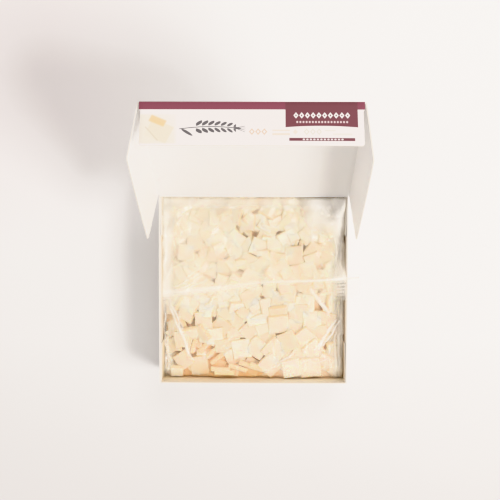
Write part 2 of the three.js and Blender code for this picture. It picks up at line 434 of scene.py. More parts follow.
# %% Printed board
def printed_board():
    material, tree, shader = new_material("printed_board", 0.42)
    map_u, map_v, _ = axes_of(tree, add_node(tree, "ShaderNodeUVMap", setup={"uv_map": "sheet"}))
    u, v = (map_u - 0.5) * (SHEET_UNIT / MM), (map_v - 0.5) * (SHEET_UNIT / MM)
    fibre = noise(tree, coordinates(tree), 1400.0, detail=4.0, rough=0.6)
    shade = mix_colour(tree, fibre, (0.875, 0.835, 0.82), (0.90, 0.86, 0.845))
    shade = bread_picture(tree, u, v, shade)
    shade = mix_colour(tree, v.between(-0.5, STRIPE_DEEP, PRINT_SOFT), shade, MAROON)
    hollow = ((u - 38.2) / 19.8).math("POWER", 2.0) * 0.9
    tab = bar(u, v - hollow, TAB_BOX) * v.above(-0.5, PRINT_SOFT)
    shade = mix_colour(tree, tab, shade, MAROON_TAB)

    in_row = u.between(LOZENGE_FROM, 54.0, PRINT_SOFT)
    cell = (u - LOZENGE_FROM).repeat(LOZENGE_PITCH)
    for wide, high, colour in ((1.35, 1.9, PAPER), (0.5, 0.75, MAROON_TAB)):
        shade = mix_colour(tree, lozenge(cell, v - LOZENGE_V, wide, high) * in_row, shade, colour)
    dots = oval((u - 24.0).repeat(1.7), v - 12.3, 0.52, 0.62) * u.between(24.0, 52.9, PRINT_SOFT)
    shade = mix_colour(tree, dots * 0.85, shade, (0.86, 0.72, 0.72))

    shade = mix_colour(tree, wheat(u, v) * 0.92, shade, CHARCOAL)
    for start, end, colour in ((-1.6, 8.8, TAN), (28.2, 38.0, GREY_TAN)):
        near, cell = u.between(start, end, PRINT_SOFT), (u - start).repeat(3.4)
        ring = lozenge(cell, v - 18.3, 1.55, 2.0) - lozenge(cell, v - 18.3, 0.85, 1.15)
        shade = mix_colour(tree, ring.clamp() * near * 0.85, shade, colour)
    shade = mix_colour(tree, lozenge(u - 23.8, v - 18.4, 1.3, 1.6) * 0.5, shade, PALE_TAN)
    for box, colour in (
        ((11.3, 17.1, 20.8, 17.8), PALE_TAN),
        ((11.3, 19.2, 20.8, 20.4), PALE_TAN),
        ((39.8, 17.2, 45.7, 17.9), GREY_TAN),
        ((44.2, 19.3, 54.8, 20.1), GREY_TAN),
    ):
        shade = mix_colour(tree, bar(u, v, box) * 0.6, shade, colour)
    shade = mix_colour(tree, bar(u, v, (20.4, 22.0, 56.2, 23.9)), shade, MAROON_TAB)
    beads = oval((u - 27.4).repeat(1.9), v - 22.95, 0.62, 0.5) * u.between(27.4, 50.2, PRINT_SOFT)
    shade = mix_colour(tree, beads * 0.8, shade, PAPER)
    set_inputs(tree, shader, {"Base Color": shade, "Roughness": fibre * 0.12 + 0.34})
    bump(tree, shader, fibre, 0.02 * MM)
    print(f"print: {len(tree.nodes)} nodes")
    return material


printed_white = printed_board()

# %% [markdown]
# ## Sheets from grids
# Every sheet of board or film here is a grid of points with a second grid a little way off, closed
# round its rim. Solidify could give the thickness too, but a mesh made this way knows which of
# its faces are outside, inside and cut edge, so each can have its own material.

# %% Closed sheet between two grids
def link_object(name, mesh):
    piece = bpy.data.objects.new(name, mesh)
    bpy.context.scene.collection.objects.link(piece)
    return piece


def unit(vectors):
    return vectors / np.linalg.norm(vectors, axis=-1, keepdims=True)


def placed(points, matrix):
    """Moves an array of points by a 4x4 matrix."""
    m = np.array(matrix)
    return points @ m[:3, :3].T + m[:3, 3]


def sheet_mesh(name, upper, lower, materials):
    """A closed body between two grids of points of the same size, upper facing up. Three
    materials are for its top, its underside and a flat rim; one is for all of it."""
    rows, columns = upper.shape[:2]
    points = np.concatenate([upper.reshape(-1, 3), lower.reshape(-1, 3)])
    index = np.arange(rows * columns).reshape(rows, columns)
    shift = rows * columns
    a, b, c, d = (part.ravel() for part in (index[:-1, :-1], index[1:, :-1], index[1:, 1:], index[:-1, 1:]))
    top = np.stack([a, b, c, d], axis=1)
    under = np.stack([a, d, c, b], axis=1) + shift
    ring = np.concatenate([index[0, :], index[1:, -1], index[-1, -2::-1], index[-2:0:-1, 0]])
    after = np.roll(ring, -1)
    rim = np.stack([ring, after, after + shift, ring + shift], axis=1)
    mesh = bpy.data.meshes.new(name)
    mesh.from_pydata(points.tolist(), [], np.concatenate([top, under, rim]).tolist())
    for material in materials:
        mesh.materials.append(material)
    kinds = [0] * len(top) + [1] * len(under) + [2] * len(rim)
    several = len(materials) > 1
    mesh.polygons.foreach_set("material_index", kinds if several else [0] * len(kinds))
    mesh.polygons.foreach_set("use_smooth", [kind != 2 or not several for kind in kinds])
    mesh.update()
    return mesh


def made_plain(piece):
    """Gives a piece the mesh that its modifiers make, and removes them."""
    evaluated = piece.evaluated_get(bpy.context.evaluated_depsgraph_get())
    mesh = bpy.data.meshes.new_from_object(evaluated)
    piece.modifiers.clear()
    piece.data = mesh
    print(f"{piece.name}: {len(mesh.polygons)} faces")

# %% Board from a grid
def board_mesh(name, grid, flat, inner_point, outside, inside, thickness=BOARD):
    """A closed sheet of board round a grid of mid points, with its outside facing away from
    inner_point. flat holds each grid point's two coordinates on the unfolded sheet."""
    normals = unit(np.cross(np.gradient(grid, axis=0), np.gradient(grid, axis=1)))
    if ((grid - np.array(inner_point)) * normals).sum() < 0:
        grid, flat, normals = grid[::-1], flat[::-1], -normals[::-1]
    half = normals * thickness / 2
    mesh = sheet_mesh(name, grid + half, grid - half, (outside, inside, cut_edge))
    layer = mesh.uv_layers.new(name="sheet")
    spread = np.concatenate([flat.reshape(-1, 2)] * 2)
    corners = np.empty(len(mesh.loops), dtype=np.int32)
    mesh.loops.foreach_get("vertex_index", corners)
    layer.data.foreach_set("uv", (spread[corners] / SHEET_UNIT + 0.5).ravel())
    return mesh

# %% Join sheets into one piece
def add_sheet(work, joined, mesh):
    """Adds a sheet to the others, with its materials in the slots that they have there."""
    for material in mesh.materials:
        if material.name not in joined.materials:
            joined.materials.append(material)
    slots = np.array([joined.materials.find(material.name) for material in mesh.materials])
    kinds = np.empty(len(mesh.polygons), dtype=np.int32)
    mesh.polygons.foreach_get("material_index", kinds)
    mesh.polygons.foreach_set("material_index", slots[kinds])
    work.from_mesh(mesh)


def finished_board(name, meshes, bevel=0.1 * MM):
    """Joins the sheets into one piece, rounds their cut edges and leaves a plain mesh."""
    work = bmesh.new()
    joined = meshes[0].copy()
    for mesh in meshes:
        add_sheet(work, joined, mesh)
    work.to_mesh(joined)
    work.free()
    piece = link_object(name, joined)
    edge = piece.modifiers.new("edge", "BEVEL")
    edge.width = bevel
    edge.segments = 2
    edge.limit_method = "ANGLE"
    edge.angle_limit = math.radians(50)
    made_plain(piece)
    return piece


# %% [markdown]
# ## Lid, flap and ears
# The lid, its front flap and its two ears are one sheet with three creases. Each is drawn in the
# lid's own frame as if the lid were shut, and then turned with it. A panel could be a box, but a
# box has hard edges and lies dead flat, so each is a slightly bowed sheet.

# %% Lid panel
GAP = 0.3 * MM


def lid_panel():
    x, y = np.meshgrid(np.linspace(-HALF, HALF, 41), np.linspace(-GAP, GAP - LID_LONG, 41), indexing="ij")
    bow = 0.35 * MM * (1 - (x / HALF) ** 2) * (1 - (2 * y / LID_LONG + 1) ** 2)
    grid = np.stack([x, y, BOARD / 2 + bow], axis=-1)
    flat = np.stack([x, y + LID_LONG / 2], axis=-1)
    shut_tray = LID @ Vector((0, -LID_LONG / 2, -0.05))
    mesh = board_mesh("lid", placed(grid, LID), flat, shut_tray, outside_white, inside_white)
    piece = finished_board("lid_board", [mesh])
    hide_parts("lid_panel")
    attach(piece, "lid")


lid_panel()

# %% Grid of a hanging panel
# A flap or an ear hangs from a fold. Along the fold runs a, down from it v, and outwards o.
FLAP_DEEP = 26.7 * MM
FLAP_SHOULDER = 4.2 * MM
FLAP_INSET = 1.0 * MM
FLAP_ROUND = 1.5 * MM
EAR_ROUND = 2 * MM
EAR_DEEP = 33 * MM
EAR_TAPER_HINGE = 3.5 * MM
EAR_TAPER_FRONT = 4.0 * MM
IN_SHUT_BOX = LID @ Vector((0, -LID_LONG / 2, -0.01))  # a point on the inner side of every panel


def rounded(v, deep, radius):
    """How far a round corner has drawn in the side at depth v."""
    into = np.clip(v - (deep - radius), 0, radius)
    return radius - np.sqrt(radius**2 - into**2)


def depths(deep, radius, extra=()):
    straight = np.linspace(GAP, deep - radius, 16)
    curve = deep - radius + radius * np.sin(np.linspace(0, math.pi / 2, 7)[1:])
    return np.unique(np.concatenate([straight, curve, extra]))


def hanging_grid(v, low, high, count, bow):
    """Grid over depth v between the side lines low and high, which vary with v."""
    share = np.linspace(0, 1, count)
    a = low[:, None] + (high - low)[:, None] * share[None, :]
    deep = np.repeat(v[:, None], count, axis=1)
    middle = 4 * share * (1 - share)
    o = BOARD / 2 + bow * middle[None, :] * (deep / v[-1])
    return a, deep, o

# %% Front flap and ears
def flap_place(a, v, o):
    """Front flap: a along X, outwards to -Y of the shut lid."""
    return placed(np.stack([a, -LID_LONG - o, -v], axis=-1), LID)


def ear_place(side):
    sign = -1 if side == "left" else 1
    fold = Matrix.Translation((sign * EAR_SIDE, 0, 0)) @ Matrix.Rotation(-sign * SPLAY[side], 4, "Y")
    return lambda a, v, o: placed(np.stack([sign * o, -a, -v], axis=-1), LID @ fold)


def front_flap():
    """The flap is inset a little below its shoulder, so that it slips over the front wall."""
    v = depths(FLAP_DEEP, FLAP_ROUND, (FLAP_SHOULDER, FLAP_SHOULDER + FLAP_INSET))
    inset = FLAP_INSET * np.clip((v - FLAP_SHOULDER) / FLAP_INSET, 0, 1)
    half = HALF - GAP - inset - rounded(v, FLAP_DEEP, FLAP_ROUND)
    a, deep, o = hanging_grid(v, -half, half, 49, 0.3 * MM)
    flat = np.stack([a, deep], axis=-1)
    mesh = board_mesh("flap", flap_place(a, deep, o), flat, IN_SHUT_BOX, printed_white, inside_white)
    piece = finished_board("front_flap_board", [mesh])
    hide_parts("front_flap")
    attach(piece, "flap")


def ear(side):
    """An ear narrows from its fold down, more at the front than at the hinge."""
    v = depths(EAR_DEEP, EAR_ROUND)
    low = 2 * GAP + EAR_TAPER_HINGE * v / EAR_DEEP + rounded(v, EAR_DEEP, EAR_ROUND)
    high = LID_LONG - 2 * GAP - EAR_TAPER_FRONT * v / EAR_DEEP - rounded(v, EAR_DEEP, EAR_ROUND)
    a, deep, o = hanging_grid(v, low, high, 41, 0.25 * MM)
    flat = np.stack([a - LID_LONG / 2, deep], axis=-1)
    grid = ear_place(side)(a, deep, o)
    mesh = board_mesh(f"ear_{side}", grid, flat, IN_SHUT_BOX, outside_white, inside_white)
    piece = finished_board(f"{side}_ear_board", [mesh])
    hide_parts(f"ear_{side}")
    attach(piece, f"{side}_ear")


front_flap()
for side in ("left", "right"):
    ear(side)

# %% [markdown]
# ## Creases
# A crease is board that bends over about a millimetre. It belongs to both panels, so each crease
# is a narrow strip of its own that laps a little into the panels on either side.

# %% Creases along the lid's edges
CREASE_LAP = 0.5 * MM
CREASE_THIN = 0.02 * MM  # the strip is this much thinner than the panels it laps into
DEEP_IN_BOX = LID @ Vector((0, -LID_LONG / 2, -0.05))


def fold_path(lean):
    """Mid line of a bend over the lid's edge into a panel that leans out by an angle: how far
    out from the edge and how far up from the lid each of its points lies."""
    turn = np.linspace(0, math.pi / 2 - lean, 9)
    in_lid = [(-CREASE_LAP - GAP, BOARD / 2), (-GAP / 2, BOARD / 2)]
    bend = np.stack([np.sin(turn), np.cos(turn)], axis=1) * BOARD / 2
    last = np.array([math.cos(lean), math.sin(lean)]) * BOARD / 2
    down = np.array([math.sin(lean), -math.cos(lean)])
    return np.concatenate([in_lid, bend, [last + down * GAP / 2, last + down * (CREASE_LAP + GAP)]])


def fold_grid(path, along):
    """Grids of out, along and up for a path across the fold and places along it."""
    out, along = np.meshgrid(path[:, 0], along, indexing="ij")
    return out, along, np.repeat(path[:, 1:], along.shape[1], axis=1)

# %% Front and ear creases
def crease_strip(name, grid, along, inner, outside=outside_white):
    length = np.linspace(-1 * MM, 1 * MM, len(grid))
    flat = np.stack([along, np.repeat(length[:, None], grid.shape[1], axis=1)], axis=-1)
    mesh = board_mesh("crease", grid, flat, inner, outside, inside_white, BOARD - CREASE_THIN)
    return finished_board(name, [mesh], 0.02 * MM)


def front_crease():
    out, along, up = fold_grid(fold_path(0.0), np.linspace(-HALF + GAP, HALF - GAP, 33))
    grid = placed(np.stack([along, -LID_LONG - out, up], axis=-1), LID)
    piece = crease_strip("front_crease", grid, along, DEEP_IN_BOX, printed_white)
    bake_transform(piece)


def ear_crease(side):
    sign = -1 if side == "left" else 1
    path = fold_path(SPLAY[side])
    out, along, up = fold_grid(path, np.linspace(2 * GAP, LID_LONG - 2 * GAP, 33))
    grid = placed(np.stack([sign * (EAR_SIDE + out), -along, up], axis=-1), LID)
    piece = crease_strip(f"{side}_ear_crease", grid, along - LID_LONG / 2, DEEP_IN_BOX)
    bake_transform(piece)

# %% Hinge crease
def hinge_crease():
    """The bend from the tray's back wall into the lid."""
    wall_y = HALF - BOARD / 2
    in_lid = [(LID @ Vector((0, -far, BOARD / 2))).yz for far in (0.5 * MM, 1.3 * MM)]
    corners = np.array([(wall_y, RIM - 0.9 * MM), (wall_y, RIM - 0.1 * MM), *in_lid])
    share = np.linspace(0, 1, 11)[:, None]
    weights = ((1 - share) ** 3, 3 * share * (1 - share) ** 2, 3 * share**2 * (1 - share), share**3)
    path = sum(weight * corner for weight, corner in zip(weights, corners))
    y, x, z = fold_grid(path, np.linspace(-HALF + 2 * GAP, HALF - 2 * GAP, 33))
    piece = crease_strip("hinge_crease", np.stack([x, y, z], axis=-1), x, (0, 0, RIM))
    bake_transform(piece)


front_crease()
for side in ("left", "right"):
    ear_crease(side)
hinge_crease()

# %% [markdown]
# ## Tray
# The tray is folded from one blank: the floor carries two side walls, and the front and back
# walls end in tabs that bend round the corners and are glued inside the side walls. Three sheets
# follow that, so that cut edges, bends and tabs show where a real carton has them.

# %% Paths of the tray's sheets
BEND = 0.8 * MM  # radius of a fold at the middle of the board
TAB_LONG = 26 * MM
TAB_DROP = 2.5 * MM
MID = BOARD / 2


def mirrored(half_path):
    """A path and its mirror image in X, joined at the middle."""
    return np.concatenate([half_path, half_path[-2::-1] * np.array([-1, 1])])


def from_middle(path):
    """Distance of a path's points along it, from its middle."""
    length = np.concatenate([[0], np.cumsum(np.linalg.norm(np.diff(path, axis=0), axis=1))])
    return length[:, None] - length[-1] / 2

# %% Side walls and floor
def side_sheet():
    """Left wall, floor and right wall as one U-shaped sheet."""
    x_wall = HALF - MID
    turn = np.linspace(0, math.pi / 2, 7)
    wall_z = np.linspace(RIM, MID + BEND, 15)
    left = np.stack([np.full(15, -x_wall), wall_z], axis=1)
    arc = np.stack([-x_wall + BEND * (1 - np.cos(turn)), MID + BEND * (1 - np.sin(turn))], axis=1)
    ground = np.stack([np.linspace(-x_wall + BEND, 0, 12), np.full(12, MID)], axis=1)
    path = mirrored(np.concatenate([left, arc[1:], ground[1:]]))
    ys = np.linspace(-HALF, HALF, 45)
    x = np.repeat(path[:, :1], len(ys), axis=1)
    z = np.repeat(path[:, 1:], len(ys), axis=1)
    y = np.repeat(ys[None, :], len(path), axis=0)
    height = np.clip(z / RIM, 0, 1) ** 2
    x = x + np.sign(x) * 0.1 * MM * height * (1 - (y / HALF) ** 2) ** 2
    flat = np.stack([np.repeat(from_middle(path), len(ys), axis=1), y], axis=-1)
    grid = np.stack([x, y, z], axis=-1)
    return board_mesh("sides", grid, flat, (0, 0, RIM), outside_white, tray_side_inside)

# %% Front and back walls
def end_sheet(sign):
    """Front or back wall with a glue tab at each end."""
    y_wall = HALF - MID
    x_tab = HALF - BOARD - MID
    turn = np.linspace(0, math.pi / 2, 7)
    tab_y = np.linspace(y_wall - TAB_LONG, y_wall - BEND, 9)
    lifted = 0.25 * MM * np.linspace(1, 0, 9) ** 2
    tab = np.stack([-x_tab + lifted, tab_y], axis=1)
    arc = np.stack([-x_tab + BEND * (1 - np.cos(turn)), y_wall - BEND * (1 - np.sin(turn))], axis=1)
    wall = np.stack([np.linspace(-x_tab + BEND, 0, 22), np.full(22, y_wall)], axis=1)
    path = mirrored(np.concatenate([tab, arc[1:], wall[1:]]))
    in_tab = np.clip((y_wall - BEND - path[:, 1]) / (TAB_LONG - BEND), 0, 1)
    past_bend = np.clip((y_wall - path[:, 1]) / BEND, 0, 1)
    top = RIM - TAB_DROP * past_bend - 2 * MM * in_tab**4
    bottom = BOARD + 1.0 * MM * past_bend + 2 * MM * in_tab
    share = np.linspace(0, 1, 15)
    z = bottom[:, None] + (top - bottom)[:, None] * share
    x = np.repeat(path[:, :1], 15, axis=1)
    y = np.repeat(path[:, 1:], 15, axis=1)
    on_wall = np.clip(1 - (np.abs(x) / (x_tab - BEND)) ** 2, 0, 1)
    y = y + 0.2 * MM * on_wall * (z / RIM) ** 2
    flat = np.stack([np.repeat(from_middle(path), 15, axis=1), z], axis=-1)
    grid = np.stack([x, sign * y, z], axis=-1)
    inside = tray_front_inside_shaded if sign < 0 else tray_back_inside
    return board_mesh("end", grid, flat, (0, 0, RIM / 2), outside_white, inside)

# %% Tray
def tray():
    piece = finished_board("tray_board", [side_sheet(), end_sheet(-1), end_sheet(1)])
    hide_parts("base_tray")
    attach(piece, "base")


tray()

# %% [markdown]
# ## Pile of bread
# The bag holds several hundred squares of bread, about 11 mm wide and not quite 3 mm thick,
# dropped in at random: most lie nearly flat on each other, some lean, and a few stand on edge in
# short rows. A physics run could drop them, but a simpler rule gives the same pile each time: a
# height map of the pile is kept, and each new square takes the lowest plane that clears the map
# under it, which is how a stiff square rests on three points. A formula for the wanted outline,
# read off the bag in the frame, says where the pile ends.

# %% Outline of the pile
SQUARE_SIDE = 10.6  # the pile is worked out in millimetres
SQUARE_THICK = 2.7
CELL = 0.5
EDGE_HEIGHT = 30.6  # where the bread meets the front and back walls
CROWN = 3.0
SLUMP = 4.5  # how far it sinks towards the side walls
FRONT_RISE = 4.5  # and how far it is heaped up at the front wall
FILM_ROOM = 0.8
PILE_DEEP = 9.0
PILE_LEFT, PILE_RIGHT, PILE_FRONT, PILE_BACK = -60.6, 60.6, -61.5, 61.0  # clear of the walls


def smooth_step(value, low, high):
    share = np.clip((value - low) / (high - low), 0, 1)
    return share * share * (3 - 2 * share)


def pile_top(x, y):
    side = bag_high.x / MM
    crown = CROWN * (1 - np.clip(np.abs(x / side), 0, 1) ** 4) * (1 - np.clip(np.abs(y / side), 0, 1) ** 4)
    lumps = 0.9 * np.sin(x / 11 + y / 29 + 0.6) + 0.7 * np.sin(-x / 17 + y / 9 + 1.9)
    slump = SLUMP * (0.6 * smooth_step(x, 54.0, 60.0) + 1.3 * smooth_step(-x, 50.0, 59.0))
    rise = FRONT_RISE * smooth_step(-y, 47.0, 60.0) * (0.4 + 0.6 * smooth_step(x, -38.0, -22.0))
    return EDGE_HEIGHT + crown + lumps - slump + rise - FILM_ROOM


cell_x = np.arange(PILE_LEFT, PILE_RIGHT, CELL)
cell_y = np.arange(PILE_FRONT, PILE_BACK, CELL)
map_x, map_y = np.meshgrid(cell_x, cell_y, indexing="ij")
wanted = pile_top(map_x, map_y)
heights = wanted - PILE_DEEP
draw = np.random.default_rng(11)
print(f"pile map {heights.shape}, top {wanted.max():.1f} mm")

# %% [markdown]
# ## Rest of one square
# A square is tried at a few hundred slopes. At each slope it is lifted until it clears the map at
# all of its foot points, and the slope that needs the least lift wins. A little chance in that
# choice keeps some squares as restless as real ones.

# %% Rest a square on the pile
FOOT = np.linspace(-0.46, 0.46, 9)
foot_u, foot_v = (part.ravel() for part in np.meshgrid(FOOT, FOOT, indexing="ij"))
SLOPES = np.linspace(-0.9, 0.9, 21)
slope_u, slope_v = (part.ravel() for part in np.meshgrid(SLOPES, SLOPES, indexing="ij"))
print(f"{len(foot_u)} foot points, {len(slope_u)} slopes")


def map_at(x, y, values=None):
    i = np.clip(((x - PILE_LEFT) / CELL).astype(int), 0, len(cell_x) - 1)
    j = np.clip(((y - PILE_FRONT) / CELL).astype(int), 0, len(cell_y) - 1)
    return (heights if values is None else values)[i, j]


def resting_plane(x, y, yaw, side, restless):
    """Slopes along and across a square turned by yaw, and the height of its underside's middle."""
    c, s = math.cos(yaw), math.sin(yaw)
    u, v = side * foot_u, side * foot_v
    under = map_at(x + c * u - s * v, y + s * u + c * v)
    lift = (under[None, :] - slope_u[:, None] * u - slope_v[:, None] * v).max(axis=1)
    best = np.argmin(lift + draw.uniform(0, restless, len(lift)))
    return slope_u[best], slope_v[best], lift[best]

# %% Write a square into the map
def raise_map(x, y, yaw, du, dv, level, side):
    """Writes a square's upper face into the height map."""
    reach = side * 0.75
    rows = slice(*np.searchsorted(cell_x, (x - reach, x + reach)))
    columns = slice(*np.searchsorted(cell_y, (y - reach, y + reach)))
    px, py = map_x[rows, columns] - x, map_y[rows, columns] - y
    c, s = math.cos(yaw), math.sin(yaw)
    u, v = c * px + s * py, c * py - s * px
    steep = math.sqrt(1 + du * du + dv * dv)
    inside = (np.abs(u) < side / 2 / math.hypot(1, du)) & (np.abs(v) < side / 2 / math.hypot(1, dv))
    face = np.where(inside, level + du * u + dv * v + SQUARE_THICK * steep, -99)
    heights[rows, columns] = np.maximum(heights[rows, columns], face)


def inside_tray(x, y, yaw, half_along, half_across):
    """Moves a square's middle so that no corner of it passes the walls."""
    c, s = abs(math.cos(yaw)), abs(math.sin(yaw))
    reach_x, reach_y = c * half_along + s * half_across, s * half_along + c * half_across
    x = min(max(x, PILE_LEFT + reach_x), PILE_RIGHT - reach_x)
    y = min(max(y, PILE_FRONT + reach_y), PILE_BACK - reach_y)
    return x, y


def square_turn(yaw, du, dv):
    """Rotation that lays a square's own x and y along its two slopes."""
    along = Vector((math.cos(yaw), math.sin(yaw), du)).normalized()
    across = Vector((-math.sin(yaw), math.cos(yaw), dv))
    normal = along.cross(across).normalized()
    across = normal.cross(along)
    return Matrix((along, across, normal)).transposed()

# %% List of squares
squares = []  # (middle, rotation matrix, scale) of each square of bread


def lay_square(x, y, yaw, du, dv, level, side):
    along = side / SQUARE_SIDE
    size = Vector((along, along * draw.uniform(0.88, 1), draw.normal(1, 0.08)))
    turn = square_turn(yaw, du, dv)
    middle = Vector((x, y, level + SQUARE_THICK / 2 * math.sqrt(1 + du * du + dv * dv)))
    raise_map(x, y, yaw, du, dv, level, side)
    squares.append((middle, turn, size))

# %% [markdown]
# ## Layers of the pile
# The pile is made in four goes. A calm bed stays just below the outline. On it the squares that
# show best are laid one by one, at their places in the photo. Then loose squares fall wherever the
# pile is low and few laid ones get hidden, and at last the deepest gaps get one more square each,
# slipped under its neighbours' edges.

# %% Drop squares at random
def shortfall(x, y):
    """How far the map lies below the wanted outline, on average under a square at x, y."""
    offsets = np.array([(0, 0), (4, 0), (-4, 0), (0, 4), (0, -4)])
    px, py = x[:, None] + offsets[:, 0], y[:, None] + offsets[:, 1]
    return (pile_top(px, py) - map_at(px, py)).mean(axis=1)


THROWS = 80  # places that are compared for one square
KEEP_OFF = 20  # mm by which a place over a listed square counts as full
WALL_NEAR = 3.0  # nearest to a wall that a square is thrown
BROKEN_SHARE = 0.22  # share of the pieces that are smaller than a whole square
TAKEN_SHARE = 0.38  # most that a dropped square hides of the listed squares
taken = np.zeros_like(heights)  # 1 under those


def thrown(count):
    """Some places at random in the tray."""
    x = draw.uniform(PILE_LEFT + WALL_NEAR, PILE_RIGHT - WALL_NEAR, count)
    return x, draw.uniform(PILE_FRONT + WALL_NEAR, PILE_BACK - WALL_NEAR, count)


def hidden_share(x, y, side):
    """Share of a square's area that would lie over the listed squares."""
    return map_at(x + 0.8 * side * foot_u, y + 0.8 * side * foot_v, taken).mean()


def drop_squares(clear, misses, proud, unrest):
    """Drops squares where the map is lowest, until so many throws in all have found no room."""
    missed = 0
    while missed < misses:
        x, y = thrown(THROWS)
        short = shortfall(x, y)
        pick = int(np.argmax(short + draw.normal(0, 0.4, THROWS) - KEEP_OFF * (map_at(x, y, taken) > 0)))
        yaw = draw.uniform(0, 2 * math.pi)
        broken = draw.random() < BROKEN_SHARE
        side = SQUARE_SIDE * (draw.uniform(0.55, 0.85) if broken else draw.normal(1.02, 0.05))
        px, py = inside_tray(x[pick], y[pick], yaw, side / 2, side / 2)
        restless = draw.choice((0.3, 0.3 + 0.4 * unrest, 0.3 + unrest), p=(0.4, 0.35, 0.25))
        du, dv, level = resting_plane(px, py, yaw, side, restless)
        too_high = level + SQUARE_THICK > pile_top(px, py) + proud
        if too_high or short[pick] < clear or hidden_share(px, py, side) > TAKEN_SHARE:
            missed += 1
        else:
            lay_square(px, py, yaw, du, dv, level, side)

# %% Squares that show best
# Each has its x, y, the direction of an edge, its lean about that edge and its size.
# Of a steep one, x and y are the middle of its upper edge.
SHOWN_SQUARES = (
    (25.5, -45.6, 20, 8, 1.1),
    (9, -33.4, 195, 10, 1.15),
    (28, -27.4, 80, 8, 1),
    (-1.8, -29.2, 40, 12, 1.05),
    (1.6, -19.6, 190, 14, 1.1),
    (-13.5, -47, 30, 12, 1),
    (-30, -33, 70, 12, 1),
    (-15.5, -35, 200, 10, 1.05),
    (45, -32, 15, 10, 1.05),
    (31, -46, 60, 12, 1),
    (-44.2, -39.6, 76, 80, 0.9),
    (-40.6, -39.9, 74, 78, 0.95),
    (-33.4, -39.9, 47, 74, 1.05),
    (-24.4, -48, 43, 68, 1.15),
    (-29, -44.6, 45, 72, 0.95),
    (-22.6, -56.2, -3, 70, 1.25),
    (-19.4, -59.4, -2, 80, 1.2),
    (-10.7, -54.9, -18, 72, 1.25),
    (-3.2, -52.6, -19, 70, 1.2),
    (3.6, -56.8, -20, 66, 1.1),
    (-41.2, -19.7, 57, 70, 1),
    (-47.6, -24, -62, 74, 1.05),
    (-35.7, -31.4, -52, 40, 1),
    (-33.8, -22.8, 2, 6, 1.05),
    (-22.1, -26.1, -38, 22, 1.05),
    (-11.9, -28.3, 3, 5, 1.05),
    (-25.8, -33, 4, 12, 1.05),
    (-21.2, -39.6, 6, 20, 0.8),
    (-8.2, -41.8, 8, 6, 1.1),
    (3, -41, -32, 8, 1.1),
    (-36.8, -53.4, 6, 10, 1.05),
    (-47.5, -50, -50, 24, 1),
    (-42.8, -31.4, 12, 40, 0.95),
    (23.7, -36.2, -66, 12, 1.1),
    (14.6, -42.4, 50, 7, 1.25),
    (11.6, -52.6, 47, 10, 1.15),
    (7.1, -23.9, 24, 12, 1.25),
    (17, -24.6, 4, 18, 1.15),
    (17.2, -17.6, 8, 34, 1.05),
    (30.6, -17.4, 1, 5, 1.15),
    (39.6, -21.6, 88, 10, 1.1),
    (35, -34.4, 42, 10, 1.15),
    (49, -22.8, -10, 12, 1.1),
    (40.6, -42.4, 36, 20, 1.1),
    (38.8, -54, 6, 14, 1.2),
    (26, -54.6, 10, 12, 1.1),
    (49.5, -51, -30, 22, 1),
    (-6, 40, -42, 66, 1.05),
    (-2.2, 35.6, -44, 62, 1.05),
    (4.2, 38.6, -40, 58, 1),
    (24.6, 31.4, 90, 72, 0.95),
    (28.2, 31, 88, 70, 0.95),
    (32, 30.2, 74, 62, 1),
    (27.6, 22.2, 3, 10, 1.1),
    (-52.1, 31.9, 4, 8, 1.05),
)
print(f"{len(SHOWN_SQUARES)} squares to lay by hand")

# %% Lay a listed square
STEEP = 45  # degrees of lean from which a square counts as standing
LAID_GROWTH = 1.08  # flat ones are this much larger than the list says
LAID_OVERLAP = 0.06  # share of its area from which a square lies on others
LAID_STEP = 1.5  # and how much higher it then lies


def lay_by_hand(x, y, edge, lean, size):
    """Lays one square where it shows in the photo's view; a steep one is half sunk in the pile."""
    yaw, tip = math.radians(edge), math.radians(lean)
    size = size * LAID_GROWTH if lean < STEEP else size
    side, thick = SQUARE_SIDE * size, SQUARE_THICK
    half_rise = (side * math.sin(tip) + thick * math.cos(tip)) / 2
    half_across = (side * math.cos(tip) + thick * math.sin(tip)) / 2
    c, s = math.cos(yaw), math.sin(yaw)
    if lean > STEEP:
        x, y = x + s * side / 2 * math.cos(tip), y - c * side / 2 * math.cos(tip)
    x, y = inside_tray(x, y, yaw, side / 2, half_across)
    along, across = c * (map_x - x) + s * (map_y - y), c * (map_y - y) - s * (map_x - x)
    under = (np.abs(along) < side / 2) & (np.abs(across) < half_across)
    middle = pile_top(x, y) + draw.uniform(0.8, 1.8) - half_rise
    if lean < STEEP:
        on_others = taken[under].mean() > LAID_OVERLAP
        middle = pile_top(x, y) + draw.uniform(0.4, 0.9) + LAID_STEP * on_others - thick / 2
    turn = Matrix.Rotation(yaw, 3, "Z") @ Matrix.Rotation(tip, 3, "X")
    squares.append((Vector((x, y, middle)), turn, Vector((size, size, 1))))
    face = middle + np.clip(across / half_across, -1, 1) * (half_rise - thick / 4) + thick / 4
    heights[under] = np.maximum(heights[under], face[under])
    taken[under] = 1

# %% Fill the gaps
def spread_up(values, cells):
    """Each cell takes the highest value within so many cells of it."""
    result = values.copy()
    for axis in (0, 1):
        source = result.copy()
        for shift in range(-cells, cells + 1):
            result = np.maximum(result, np.roll(source, shift, axis=axis))
    return result


GAP_DEEP = 2.1  # a gap deeper than this gets one more square
GAP_REACH = 7  # cells round a point in which its neighbours' height is taken
GAP_TRIES, GAP_THROWS = 420, 400
GAP_LEAN = 0.24  # steepest slope of a square in a gap
SLIP_UNDER = 0.6  # how far its upper face stays below its neighbours' crests
PROUD = 3.0  # most that a loose square stands above the outline


